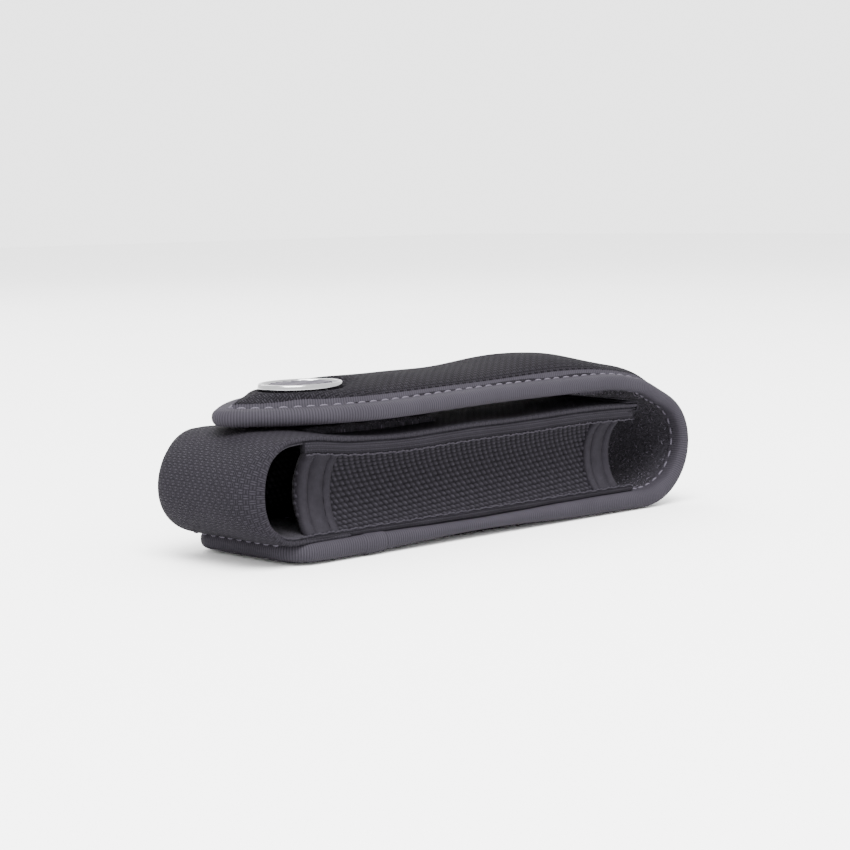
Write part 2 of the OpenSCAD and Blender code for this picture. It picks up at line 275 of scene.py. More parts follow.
def strap_rise(x):
    """How far the strap's top stands above its plain face: a shoulder, then a dip."""
    u = x - X_END
    return 0.25 + bump(u, 13, 8, 1.15) - bump(u, 40, 12, 0.5) + bump(u, 94, 14, 0.4)


def strap(q, y, depth):
    """Points of the front strap, q along it from its sewn end, round the closed end, to the mouth."""
    q, y, depth = spread(q, y, depth)
    turn = np.clip((q - STRAP_LAP) / STRAP_R, 0, math.pi)
    x_plain = STRAP_MID.x + np.maximum(STRAP_LAP - q, 0) + np.maximum(q - Q_END, 0)
    on_top = smooth(turn, 1.5, math.pi)
    across = np.abs(y) / STRAP_HALF
    barrel = (4.2 * across**7 - 2.8) * np.sin(turn) ** 2
    shoulder = 1 - smooth(x_plain - X_END, 12, 24)
    crown = (0.35 + 0.5 * shoulder) * (1 - across**2) * on_top
    radius = STRAP_R - depth - barrel + crown + strap_rise(x_plain) * on_top
    return points_at(x_plain - radius * np.sin(turn), y, STRAP_MID.z - radius * np.cos(turn))


# ---------------------------------------------------------------- the side gussets
GUSSET_SAG = 4.2
GUSSET_T = 0.9
GUSSET_Z0 = strap_low.z + 1.35
GUSSET_Z1 = STRAP_TOP - 3.3
GUSSET_EDGE = STRAP_HALF - 0.7
GUSSET_X0 = gusset_low.x
GUSSET_X1 = gusset_high.x
WEAVE_X = 1.5
WEAVE_Z = 1.05


def gusset(x, t, out):
    """Points of the near gusset: x along it, t from 0 at the bottom seam to 1 at the top seam."""
    x, t, out = spread(x, t, out)
    half = (GUSSET_Z1 - GUSSET_Z0) / 2
    radius = (half**2 + GUSSET_SAG**2) / (2 * GUSSET_SAG)
    turn = math.asin(half / radius) * (2 * t - 1)
    middle_y = -GUSSET_EDGE - radius + GUSSET_SAG
    rise = (strap_rise(x) - 0.2) * t
    y = middle_y + (radius - out) * np.cos(turn)
    return points_at(x, y, GUSSET_Z0 + half + (radius - out) * np.sin(turn) + rise)


def weave_height(x, y):
    """Height of the gussets' open weave, from 0 in its holes to 1 on its threads."""
    fx = np.abs(np.sin(math.pi * x / WEAVE_X))
    fy = np.abs(np.sin(math.pi * y / WEAVE_Z))
    over = (np.floor(x / WEAVE_X) + np.floor(y / WEAVE_Z)) % 2 < 0.5
    along = fx * (0.2 + 0.8 * fy)
    across = fy * (0.2 + 0.8 * fx)
    return np.where(over, along, 0.85 * across)


# ---------------------------------------------------------------- mesh making
def make(name, points, faces, cloth, material):
    """A mesh object from points in millimetres. cloth is each point's place on its cloth."""
    mesh = bpy.data.meshes.new(name)
    points = np.asarray(points, float).reshape(-1, 3)
    mesh.from_pydata((points * MM).tolist(), [], faces)
    place = mesh.attributes.new("cloth", "FLOAT_VECTOR", "POINT")
    place.data.foreach_set("vector", np.asarray(cloth, np.float32).reshape(-1))
    bm = bmesh.new()
    bm.from_mesh(mesh)
    bmesh.ops.remove_doubles(bm, verts=bm.verts, dist=2e-6)
    bmesh.ops.dissolve_degenerate(bm, edges=bm.edges, dist=1e-7)
    bmesh.ops.recalc_face_normals(bm, faces=bm.faces)
    bm.to_mesh(mesh)
    bm.free()
    mesh.polygons.foreach_set("use_smooth", [True] * len(mesh.polygons))
    mesh.materials.append(material)
    obj = bpy.data.objects.new(name, mesh)
    bpy.context.scene.collection.objects.link(obj)
    return obj


def slab_faces(rows, columns):
    """Faces of a closed slab: a top grid of points, then a bottom grid of as many."""
    count = rows * columns
    faces = []
    for i in range(rows - 1):
        for j in range(columns - 1):
            a = i * columns + j
            top = (a, a + 1, a + columns + 1, a + columns)
            faces.append(top)
            faces.append(tuple(count + v for v in reversed(top)))
    rim = [(i * columns, (i + 1) * columns) for i in range(rows - 1)]
    rim += [((rows - 1) * columns + j, (rows - 1) * columns + j + 1) for j in range(columns - 1)]
    rim += [((i + 1) * columns - 1, i * columns - 1) for i in range(rows - 1, 0, -1)]
    rim += [(j, j - 1) for j in range(columns - 1, 0, -1)]
    faces += [(a, b, count + b, count + a) for a, b in rim]
    return faces


def slab(name, top, bottom, cloth, material):
    """A closed slab between two grids of points."""
    rows, columns = top.shape[:2]
    points = np.concatenate([top.reshape(-1, 3), bottom.reshape(-1, 3)])
    cloth = np.concatenate([cloth.reshape(-1, 3)] * 2)
    return make(name, points, slab_faces(rows, columns), cloth, material)


def tube_faces(rings, sides, first=0):
    """Faces of a closed tube whose points start at first."""
    faces = []
    for i in range(rings - 1):
        for j in range(sides):
            a = first + i * sides + j
            b = first + i * sides + (j + 1) % sides
            faces.append((a, b, b + sides, a + sides))
    faces.append(tuple(first + j for j in reversed(range(sides))))
    faces.append(tuple(first + (rings - 1) * sides + j for j in range(sides)))
    return faces


def tube(name, rings, cloth, material):
    """A closed tube through rings of points: an array of rings, points round each ring, x y z."""
    return make(name, rings, tube_faces(*rings.shape[:2]), cloth, material)


def tubes(name, many, material):
    """Several short tubes as one piece, such as a row of stitches."""
    points, cloth, faces = [], [], []
    for rings in many:
        count, sides = rings.shape[:2]
        faces += tube_faces(count, sides, sum(len(p) for p in points))
        points.append(rings.reshape(-1, 3))
        along = np.linspace(0, STITCH_DASH, count)[:, None]
        cloth.append(points_at(along, np.arange(sides) / sides, len(points)).reshape(-1, 3))
    return make(name, np.concatenate(points), faces, np.concatenate(cloth), material)


SIX_TURNS = np.arange(6) * math.pi / 3   # round a thread's cross-section


def stitches(place, start, end, pitch=STITCH_PITCH, dash=STITCH_DASH, radius=0.24):
    """Rings of each stitch of a row. place(along, across, up) gives a point near the seam."""
    t = np.array([0, 0.08, 0.25, 0.5, 0.75, 0.92, 1])
    size = np.array([0.5, 0.9, 1, 1, 1, 0.9, 0.5]) * radius
    height = np.array([-0.28, -0.02, 0.09, 0.13, 0.09, -0.02, -0.28])
    rows = []
    count = int((end - start) / pitch)
    for i in range(count):
        lean = 0.07 * math.sin(i * 2.4)
        along = start + (end - start) * i / count + dash * t + 0.12 * math.sin(i * 1.7)
        across = size[:, None] * np.cos(SIX_TURNS) + lean * (t[:, None] - 0.5)
        up = height[:, None] + size[:, None] * 0.8 * np.sin(SIX_TURNS)
        rows.append(place(along[:, None], across, up))
    return rows


def ride(obj, body, *nodes, slot=None):
    """The piece moves with a body and stands for some CAD nodes, which are hidden; slot is not used.
    """
    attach(obj, body)
    stand_for(nodes, slot)
    return obj


def stand_for(nodes, slot):
    if nodes:
        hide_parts(*nodes)


def bend_back(obj, *nodes, slot=None):
    """The piece keeps its place, baked into its mesh, and hides the CAD nodes it stands for."""
    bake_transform(obj)
    stand_for(nodes, slot)
    return obj


def bend_flap(obj, *nodes, slot=None):
    """The piece keeps its place, baked into its mesh, and hides the CAD nodes it stands for."""
    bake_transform(obj)
    stand_for(nodes, slot)
    return obj


# ---------------------------------------------------------------- materials
class Shader:
    """A node material under construction. Its methods add nodes and return their outputs."""

    def __init__(self, name, roughness=0.8, metallic=0.0, specular=0.03, sheen=0.0):
        self.material = bpy.data.materials.new(name)
        self.material.use_nodes = True
        self.nodes = self.material.node_tree.nodes
        self.links = self.material.node_tree.links
        self.surface = self.nodes["Principled BSDF"]
        self.surface.inputs["Roughness"].default_value = roughness
        self.surface.inputs["Metallic"].default_value = metallic
        self.surface.inputs["Specular IOR Level"].default_value = specular
        self.surface.inputs["Sheen Weight"].default_value = sheen
        self.surface.inputs["Sheen Roughness"].default_value = 0.5

    def put(self, value, socket):
        if isinstance(value, bpy.types.NodeSocket):
            self.links.new(value, socket)
        else:
            socket.default_value = value

    def math(self, operation, *values):
        node = self.nodes.new("ShaderNodeMath")
        node.operation = operation
        for value, socket in zip(values, node.inputs):
            self.put(value, socket)
        return node.outputs[0]

    def cloth(self):
        """The point's place on its cloth, in millimetres, as x, y and z outputs."""
        place = self.nodes.new("ShaderNodeAttribute")
        place.attribute_name = "cloth"
        split = self.nodes.new("ShaderNodeSeparateXYZ")
        self.links.new(place.outputs["Vector"], split.inputs[0])
        return place.outputs["Vector"], split.outputs

    def position(self):
        """The point's place on the object, in metres."""
        return self.nodes.new("ShaderNodeTexCoord").outputs["Object"]

    def noise(self, vector, scale, detail=3.0, roughness=0.6):
        node = self.nodes.new("ShaderNodeTexNoise")
        self.put(vector, node.inputs["Vector"])
        node.inputs["Scale"].default_value = scale
        node.inputs["Detail"].default_value = detail
        node.inputs["Roughness"].default_value = roughness
        return node.outputs["Fac"]

    def stretch(self, vector, scale):
        node = self.nodes.new("ShaderNodeMapping")
        self.put(vector, node.inputs["Vector"])
        node.inputs["Scale"].default_value = scale
        return node.outputs[0]

    def between(self, value, low, high, new_low=0.0, new_high=1.0):
        node = self.nodes.new("ShaderNodeMapRange")
        for value_in, socket in zip((value, low, high, new_low, new_high), node.inputs):
            self.put(value_in, socket)
        return node.outputs[0]

    def mix(self, share, first, second):
        node = self.nodes.new("ShaderNodeMix")
        node.data_type = "RGBA"
        self.put(share, node.inputs["Factor"])
        self.put(first, node.inputs["A"])
        self.put(second, node.inputs["B"])
        return node.outputs["Result"]

    def relief(self, height, distance, strength=1.0, under=None):
        node = self.nodes.new("ShaderNodeBump")
        node.inputs["Distance"].default_value = distance
        node.inputs["Strength"].default_value = strength
        self.put(height, node.inputs["Height"])
        if under is not None:
            self.put(under, node.inputs["Normal"])
        return node.outputs[0]

    def weave(self, x, y, thread, group):
        """Height of a weave whose threads cross over and under in groups."""
        wide = thread * group
        fx = self.math("ABSOLUTE", self.math("SINE", self.math("MULTIPLY", x, math.pi / thread)))
        fy = self.math("ABSOLUTE", self.math("SINE", self.math("MULTIPLY", y, math.pi / thread)))
        gx = self.math("ABSOLUTE", self.math("SINE", self.math("MULTIPLY", x, math.pi / wide)))
        gy = self.math("ABSOLUTE", self.math("SINE", self.math("MULTIPLY", y, math.pi / wide)))
        cell_x = self.math("FLOOR", self.math("DIVIDE", x, wide))
        cell_y = self.math("FLOOR", self.math("DIVIDE", y, wide))
        over = self.math("FLOORED_MODULO", self.math("ADD", cell_x, cell_y), 2.0)
        along = self.math("MULTIPLY", fx, self.math("MULTIPLY_ADD", gy, 0.65, 0.35))
        across = self.math("MULTIPLY", fy, self.math("MULTIPLY_ADD", gx, 0.65, 0.35))
        gap = self.math("SUBTRACT", along, across)
        return self.math("MULTIPLY_ADD", gap, over, across), over

    def finish(self, colour, normal=None, roughness=None):
        self.put(colour, self.surface.inputs["Base Color"])
        if normal is not None:
            self.put(normal, self.surface.inputs["Normal"])
        if roughness is not None:
            self.put(roughness, self.surface.inputs["Roughness"])
        return self.material


TONE = 0.62
CAST = (1.02, 0.93, 1.16)


def grey(value):
    """A dark neutral with a slight violet cast, as linear RGBA."""
    return (*(value * TONE * c for c in CAST), 1.0)


def woven(name, thread, group, light, dark, depth, roughness=0.72):
    """Nylon cloth with a visible weave, with painted shade darkening it between its threads."""
    s = Shader(name, roughness)
    vector, xyz = s.cloth()
    height, over = s.weave(xyz[0], xyz[1], thread, group)
    fuzz = s.noise(s.stretch(vector, (3.0, 3.0, 3.0)), 2.2, 3.0)
    patch = s.noise(vector, 0.12, 2.0)
    # Painted shade: the weave's height scales the colour, darkest between the threads.
    tone = s.math("MULTIPLY", height, s.between(patch, 0.3, 0.7, 0.8, 1.15))
    tone = s.math("MULTIPLY", tone, s.between(over, 0, 1, 0.6, 1.15))
    colour = s.mix(tone, grey(dark), grey(light))
    worn = s.mix(s.between(fuzz, 0.55, 0.8, 0.0, 0.35), colour, grey(light * 1.5))
    fine = s.relief(fuzz, 0.00006, 0.6)
    return s.finish(worn, s.relief(height, depth, 1.0, fine), s.between(height, 0, 1, 0.9, roughness))


def ribbed(name, light, dark, pitch=RIB_PITCH):
    """Grosgrain tape: the ribs are in the mesh, and the colour is painted darker between them as
    shade.
    """
    s = Shader(name, 0.68)
    vector, xyz = s.cloth()
    rib = s.math("ABSOLUTE", s.math("SINE", s.math("MULTIPLY", xyz[0], math.pi / pitch)))
    threads = s.noise(s.stretch(vector, (1.5, 7.0, 1.0)), 2.0, 2.0)
    patch = s.noise(vector, 0.09, 2.0)
    # Painted shade: the colour darkens in the grooves between the ribs.
    tone = s.math("MULTIPLY", rib, s.between(patch, 0.3, 0.7, 0.75, 1.05))
    colour = s.mix(tone, grey(dark), grey(light))
    colour = s.mix(s.between(threads, 0.5, 0.8, 0.0, 0.3), colour, grey(light * 1.4))
    return s.finish(colour, s.relief(threads, 0.00006, 0.7))


def smooth_tape(name, light, dark):
    """Flat nylon tape with a fine twill, painted darker in the twill's grooves as shade."""
    s = Shader(name, 0.7)
    vector, xyz = s.cloth()
    slope = s.math("ADD", xyz[0], s.math("MULTIPLY", xyz[1], 0.6))
    twill = s.math("ABSOLUTE", s.math("SINE", s.math("MULTIPLY", slope, math.pi / 0.32)))
    patch = s.noise(vector, 0.5, 3.0)
    # Painted shade: the twill's grooves darken the colour.
    tone = s.math("MULTIPLY", s.between(patch, 0.3, 0.7, 0.5, 1.0), s.between(twill, 0, 1, 0.7, 1.0))
    return s.finish(s.mix(tone, grey(dark), grey(light)), s.relief(twill, 0.00004, 0.5))


def open_weave():
    """The gussets' coarse weave: the threads are in the mesh, and z on the cloth is their height. The
    colour darkens with depth to near black in the weave's holes: painted shade.
    """
    s = Shader("gusset_cloth", 0.7)
    vector, xyz = s.cloth()
    fibres = s.noise(s.stretch(vector, (4.0, 4.0, 1.0)), 1.6, 3.0)
    # Painted shade: lower in the weave is darker, near black in the holes.
    tone = s.math("POWER", xyz[2], 1.3)
    colour = s.mix(tone, grey(0.004), grey(0.037))
    colour = s.mix(s.between(fibres, 0.5, 0.8, 0.0, 0.35), colour, grey(0.05))
    return s.finish(colour, s.relief(fibres, 0.00008, 0.8))


def brushed_lining():
    """Brushed knit: a dark nap with a scatter of bright specks, painted glints on its fibres."""
    s = Shader("lining_nap", 0.9, sheen=0.02)
    vector, _ = s.cloth()
    nap = s.noise(vector, 1.3, 5.0, 0.75)
    fibres = s.noise(s.stretch(vector, (2.2, 5.0, 2.0)), 1.9, 4.0, 0.8)
    colour = s.mix(s.between(nap, 0.35, 0.7), grey(0.012), grey(0.046))
    # Painted highlights: bright specks scattered over the nap as glints of its fibres.
    colour = s.mix(s.between(fibres, 0.58, 0.66, 0.0, 0.9), colour, grey(0.2))
    return s.finish(colour, s.relief(nap, 0.0004, 0.9, s.relief(fibres, 0.0002, 0.6)))


def thread(name, value):
    """Twisted sewing thread, painted darker in the grooves of its twist as shade."""
    s = Shader(name, 0.6)
    _, xyz = s.cloth()
    lay = s.math("ADD", s.math("MULTIPLY", xyz[0], 9.0), s.math("MULTIPLY", xyz[1], 2 * math.pi))
    twist = s.math("ABSOLUTE", s.math("SINE", lay))
    # Painted shade: the colour darkens in the grooves of the twist.
    colour = s.mix(twist, grey(value * 0.55), grey(value))
    return s.finish(colour, s.relief(twist, 0.00008, 0.8))


def metal(name, value, roughness, brushed):
    """Bare metal: polished, or brushed along the pouch."""
    s = Shader(name, roughness, metallic=1.0, specular=0.5)
    place = s.stretch(s.position(), (40.0, 900.0, 400.0) if brushed else (300.0, 300.0, 300.0))
    scratches = s.noise(place, 3.0, 4.0)
    dull = (value * 0.82, value * 0.82, value * 0.85, 1)
    colour = s.mix(scratches, dull, (value, value, value, 1))
    rough = s.between(scratches, 0.3, 0.7, roughness * 0.7, roughness * 1.5)
    return s.finish(colour, s.relief(scratches, 0.00003 if brushed else 0.000006, 0.5), rough)


def ribs_with_painted_reflections():
    """The chrome field as painted reflections: near black between the ribs and scratched grey on the
    ribs, which stand for bare satin metal; z on the cloth is the height.
    """
    s = Shader("badge_painted_reflections", 0.5, specular=0.02)
    _, xyz = s.cloth()
    scratches = s.noise(s.stretch(s.position(), (60.0, 1500.0, 400.0)), 3.0, 4.0)
    share = s.between(xyz[2], 0.95, 1.2)
    # Painted reflections: scratched grey on the ribs and near black on the field, in place of the
    # chrome's own reflections.
    rib_painted_reflection = s.mix(scratches, grey(0.03), grey(0.15))
    colour = s.mix(share, grey(0.004), rib_painted_reflection)
    return s.finish(colour, s.relief(scratches, 0.00003, 0.5), s.between(share, 0, 1, 0.6, 0.35))


def foam():
    """Open-cell foam, inside the panels."""
    s = Shader("foam_cells", 0.95)
    cells = s.noise(s.position(), 2500.0, 2.0)
    return s.finish(s.mix(cells, grey(0.05), grey(0.16)), s.relief(cells, 0.0002, 0.6))


NYLON = woven("ballistic_nylon", 0.5, 2, 0.026, 0.006, 0.00035)
STRAP_NYLON = woven("strap_nylon", 0.45, 2, 0.03, 0.013, 0.0002)
BINDING = ribbed("grosgrain_binding", 0.046, 0.018)
WEBBING = ribbed("belt_webbing", 0.03, 0.01, 1.1)
END_TAPE = smooth_tape("end_tape_cloth", 0.026, 0.012)
HEM_CLOTH = woven("hem_nylon", 0.34, 1, 0.034, 0.008, 0.00012)
MESH_CLOTH = open_weave()
LINING = brushed_lining()
THREAD = thread("grey_thread", 0.135)
# Near black thread for the stitches in the end tapes' grooves: real stitches, darkened as painted
# shade of the grooves.
GROOVE_SHADE_THREAD = thread("thread_painted_groove_shade", 0.006)
FRAY = thread("frayed_edge", 0.045)
NAP_FIBRE = thread("nap_fibre", 0.26)
CHROME = metal("polished_metal", 0.3, 0.16, False)
FIELD = ribs_with_painted_reflections()
BACKING = metal("satin_metal", 0.3, 0.45, True)
FOAM = foam()
HOOK = smooth_tape("hook_base", 0.012, 0.005)


# ---------------------------------------------------------------- camera, floor and light
def make_camera():
    """A long lens, aimed at a point near the pouch's middle."""
    azimuth, elevation, roll = (math.radians(a) for a in (-43.63, 6.08, -0.9))
    distance, focal_px, picture_px = 448.9, 2087.0, 850.0
    target = Vector((-4.25, 0, 22.65))
    flat = math.cos(elevation)
    back = Vector((math.sin(azimuth) * flat, -math.cos(azimuth) * flat, math.sin(elevation)))
    camera = bpy.data.objects.new("camera", bpy.data.cameras.new("camera"))
    camera.data.sensor_width = 36.0
    camera.data.lens = focal_px / picture_px * camera.data.sensor_width
    camera.data.clip_start = 0.01
    camera.data.clip_end = 20.0
    bpy.context.scene.collection.objects.link(camera)
    turn = (-back).to_track_quat("-Z", "Y").to_matrix().to_4x4()
    spin = Matrix.Rotation(roll, 4, "Z")
    camera.matrix_world = Matrix.Translation((target + back * distance) * MM) @ turn @ spin
    bpy.context.scene.camera = camera


def make_stage():
    """A pale floor under a white sky."""
    size, sky = 3.0, 3.1
    mesh = bpy.data.meshes.new("floor")
    corner = [(-size, -size), (size, -size), (size, size), (-size, size)]
    mesh.from_pydata([(x, y, 0) for x, y in corner], [], [(0, 1, 2, 3)])
    s = Shader("pale_floor", 0.9)
    tone = s.noise(s.position(), 8.0, 2.0)
    mesh.materials.append(s.finish(s.mix(tone, (0.90, 0.90, 0.90, 1), (0.93, 0.93, 0.93, 1))))
    floor = bpy.data.objects.new("floor", mesh)
    bpy.context.scene.collection.objects.link(floor)
    world = bpy.data.worlds.new("studio")
    world.use_nodes = True
    background = world.node_tree.nodes["Background"]
    background.inputs["Color"].default_value = (1, 1, 1, 1)
    background.inputs["Strength"].default_value = sky
    bpy.context.scene.world = world


def make_light(name, place, power, size):
    """A square light that faces the pouch."""
    light = bpy.data.lights.new(name, "AREA")
    light.energy = power
    light.shape = "SQUARE"
    light.size = size
    obj = bpy.data.objects.new(name, light)
    obj.location = Vector(place)
    obj.rotation_euler = (-obj.location).to_track_quat("-Z", "Y").to_euler()
    bpy.context.scene.collection.objects.link(obj)


# ---------------------------------------------------------------- panel pieces
def panel_layer(name, s0, s1, inset, top, bottom, material, step=1.0, columns=45):
    """One layer of the padded panel between two depths, from s0 to s1 along the strip."""
    rows = max(8, int((s1 - s0) / step))
    s = s0 + (s1 - s0) * np.linspace(0, 1, rows)
    if s1 > S_OGIVE:
        s = np.concatenate([s[:-1], s1 - (s1 - s[-2]) * np.linspace(0.9, 0, 8) ** 2])
    if s0 < BACK_CORNER_R:
        s = np.concatenate([s0 + (s[1] - s0) * np.linspace(0, 0.9, 6) ** 2, s[1:]])
    t = np.linspace(-1, 1, columns)
    y = half_width(s, inset)[:, None] * t
    s, y = spread(s[:, None], y)
    ripple = 0.05 * np.sin(s / 3.7 + 1.3 * np.sin(y / 5.1)) + 0.04 * np.sin(s / 8.3 - y / 4.2)
    cloth = points_at(s + 0.12 * y, y, 0)
    return slab(name, panel(s, y, top - ripple), panel(s, y, bottom), cloth, material)


def make_panel():
    """Nylon, foam and lining, each in a back and a flap piece."""
    inset = 3.4
    end = S_TIP - inset
    layers = [
        ("nylon", NYLON, "nylon", NYLON_DEPTH, 1.2, "outer"),
        ("foam", FOAM, "foam", 1.25, 2.05, "stiffener"),
        ("lining", LINING, "lining", 2.1, LINING_FACE, "lining"),
    ]
    for label, material, slot, top, bottom, node in layers:
        back = panel_layer(f"{label}_back", inset, S_SPLIT, inset, top, bottom, material)
        bend_back(back, f"back_{node}", f"spine_{node}", slot=slot)
        flap = panel_layer(f"{label}_flap", S_SPLIT, end, inset, top, bottom, material)
        bend_flap(flap, f"flap_{node}", slot=slot)


def fibres(s0, s1, count, seed):
    """Rings of loose fibres that stand off the lining between s0 and s1."""
    random = np.random.default_rng(seed)
    s, y = random.uniform(s0, s1, count), random.uniform(FLANGE - HALF, HALF - FLANGE, count)
    way, length = random.uniform(0, math.pi, count), random.uniform(0.3, 1.0, count)
    curl, rise = random.uniform(-0.5, 0.5, count), random.uniform(0.1, 0.5, count)
    t = np.array([-0.5, -0.2, 0.2, 0.5])
    along = length[:, None] * t
    across = curl[:, None] * t**2
    middle_s = s[:, None] + along * np.cos(way)[:, None] - across * np.sin(way)[:, None]
    middle_y = y[:, None] + along * np.sin(way)[:, None] + across * np.cos(way)[:, None]
    depth = LINING_FACE + 0.02 + rise[:, None] * (1 - (2 * t) ** 2)
    turns = np.arange(4) * math.pi / 2
    radius = 0.045
    return list(panel(
        middle_s[..., None],
        middle_y[..., None] + radius * np.cos(turns),
        depth[..., None] + radius * np.sin(turns),
    ))


def make_fibres():
    """The lining's raised nap, where the open mouth shows it."""
    low = fibres(S_FOLD - 8, S_SPLIT - 1, 800, 11)
    bend_back(tubes("nap_back", low, NAP_FIBRE), slot="lining")
    high = fibres(S_SPLIT + 1, S_FLAP + 20, 500, 12)
    bend_flap(tubes("nap_flap", high, NAP_FIBRE), slot="lining")


def binding_profile():
    """The tape's cross-section: distance in from the edge, depth, and outward direction."""
    deep = BOUND_T
    face = [
        (FLANGE, 0.30, 0.9, -0.4), (FLANGE - 0.1, 0.08, 0.4, -0.9), (3.85, 0.04, 0, -1),
        (STITCH_IN, 0.12, 0, -1), (3.1, 0.04, 0, -1), (2.6, 0.02, 0, -1), (2.0, 0.0, 0, -1),
        (1.3, 0.02, -0.2, -1), (0.75, 0.16, -0.6, -0.8), (0.3, 0.55, -0.85, -0.5),
        (0.06, 1.05, -1, -0.2),
    ]
    front = face + [(0.0, deep / 2, -1, 0)]
    rear = [(d, deep - z, out, -up) for d, z, out, up in reversed(face)]
    lining = [(FLANGE - 0.15, 0.42), (STITCH_IN, 0.44), (1.4, 0.46), (0.75, 0.8), (0.5, 1.2)]
    inside = [(d, deep - z, 0, 0) for d, z in lining]
    inside += [(0.45, deep / 2, 0, 0)]
    inside += [(d, z, 0, 0) for d, z in reversed(lining)]
    return np.array(front + rear + inside)


def binding_piece(name, start, end, lift=None):
    """Tape folded over the panel's edge between two lengths along the outline."""
    stations = np.arange(start, end, RIB_PITCH / 4)
    stations = np.append(stations, end)[:, None]
    profile = binding_profile()
    rib = 0.07 * np.abs(np.sin(math.pi * stations / RIB_PITCH)) ** 0.8
    pull = 0.06 * np.cos(2 * math.pi * stations / STITCH_PITCH)
    raised = 0 if lift is None else 0.2 * smooth(stations, *lift)
    grow = rib + raised
    by_stitch = np.exp(-(((profile[:, 0] - STITCH_IN) / 0.6) ** 2))
    inward = profile[:, 0] + profile[:, 2] * grow
    depth = profile[:, 1] + profile[:, 3] * (grow + pull * by_stitch)
    rings = by_the_edge(stations, inward, depth)
    cloth = points_at(stations, 0.5 * np.arange(len(profile)), 0)
    return tube(name, rings, cloth, BINDING)


def make_binding():
    """The tape round the panel, with its joint on the near side of the back."""
    near = binding_piece("binding_back_near", 0, L_NEAR_SPLIT)
    bend_back(near, slot="binding_tape")
    joint = (OUTLINE_L - 1.5, OUTLINE_L - 0.3)
    far = binding_piece("binding_back_far", L_FAR_SPLIT, OUTLINE_L + 4.5, joint)
    bend_back(far, "back_binding", "spine_binding", slot="binding_tape")
    flap = binding_piece("binding_flap", L_NEAR_SPLIT, L_FAR_SPLIT)
    bend_flap(flap, "flap_binding", slot="binding_tape")


def make_panel_stitches():
    """The binding's seam, seen on both faces."""
    def outer(along, across, up):
        return by_the_edge(along, STITCH_IN + across, 0.06 - up)

    def inner(along, across, up):
        return by_the_edge(along, STITCH_IN + across, BOUND_T - 0.06 + up)

    rows = [outer, inner]
    back = [r for f in rows for r in stitches(f, 0.8, L_NEAR_SPLIT - 0.5)]
    back += [r for f in rows for r in stitches(f, L_FAR_SPLIT + 0.5, OUTLINE_L - 2)]
    bend_back(tubes("stitches_back", back, THREAD), slot="thread")
    flap = [r for f in rows for r in stitches(f, L_NEAR_SPLIT + 0.5, L_FAR_SPLIT - 0.5)]
    bend_flap(tubes("stitches_flap", flap, THREAD), slot="thread")


# ---------------------------------------------------------------- strap pieces
def strap_ring(half, top, bottom, columns=33):
    """A closed cross-section of the strap with round edges: y and depth."""
    round_r = (bottom - top) / 2
    flat = np.linspace(-half + round_r, half - round_r, columns)
    turns = np.linspace(0, math.pi, 7)[1:-1]
    edge_y = round_r * np.sin(turns)
    edge_d = top + round_r * (1 - np.cos(turns))
    y = np.concatenate([flat, half - round_r + edge_y, flat[::-1], -half + round_r - edge_y])
    depth = np.concatenate([np.full(columns, top), edge_d, np.full(columns, bottom), edge_d[::-1]])
    return y, depth


def strap_piece(name, q0, q1, half, top, bottom, material, step=0.8):
    q = np.linspace(q0, q1, int((q1 - q0) / step))[:, None]
    y, depth = strap_ring(half, top, bottom)
    ripple = 0.07 * np.sin(q / 4.1 + y / 6) * np.sin(q / 13) * (depth < top + 0.1)
    return tube(name, strap(q, y, depth - ripple), points_at(q, y, 0), material)


def make_strap():
    """The strap's nylon and lining, and the seam that sews its end to the back."""
    nylon = strap_piece("strap_nylon", 0, Q_MOUTH, STRAP_HALF, 0, 1.05, STRAP_NYLON)
    ride(nylon, "pouch", "front_outer", slot="nylon")
    lining = strap_piece("strap_lining", 0.3, Q_MOUTH, STRAP_HALF - 0.5, 1.1, STRAP_T, LINING, 1.2)
    ride(lining, "pouch", "front_lining", slot="lining")

    def lap(along, across, up):
        return strap(STRAP_LAP + 3.2 + across, along, -0.02 - up)

    rows = stitches(lap, -STRAP_HALF + 2, STRAP_HALF - 2, 2.6, 1.7, 0.2)
    ride(tubes("strap_lap_stitches", rows, THREAD), "pouch", slot="thread")


def make_mouth_binding():
    """Tape folded over the strap's mouth edge."""
    top, deep, back = -0.3, STRAP_T + 0.3, 3.6
    profile = [
        (back, top + 0.25), (back - 0.2, top), (0.4, top), (-0.35, top + 0.25), (-0.62, STRAP_T / 2),
        (-0.35, deep - 0.25), (0.4, deep), (back - 0.2, deep), (back, deep - 0.25),
        (back - 0.2, STRAP_T + 0.04), (0.0, STRAP_T + 0.04), (0.0, -0.04), (back - 0.2, -0.04),
    ]
    along, depth = np.array(profile).T
    y = np.arange(-STRAP_HALF, STRAP_HALF + 0.01, RIB_PITCH / 4)[:, None]
    rib = 0.05 * np.abs(np.sin(math.pi * y / RIB_PITCH))
    out = np.where(depth < 0.5, -1, np.where(depth > STRAP_T, 1, 0))
    rings = strap(Q_MOUTH - along, y, depth + rib * out)
    cloth = points_at(y, along, 0)
    tape = tube("mouth_edge_tape", rings, cloth, HEM_CLOTH)
    ride(tape, "pouch", "mouth_binding", slot="binding_tape")


# ---------------------------------------------------------------- gusset pieces
def flip(points, side):
    """Points of the near side, or their mirror image on the far side."""
    return points * np.array([1, side, 1])


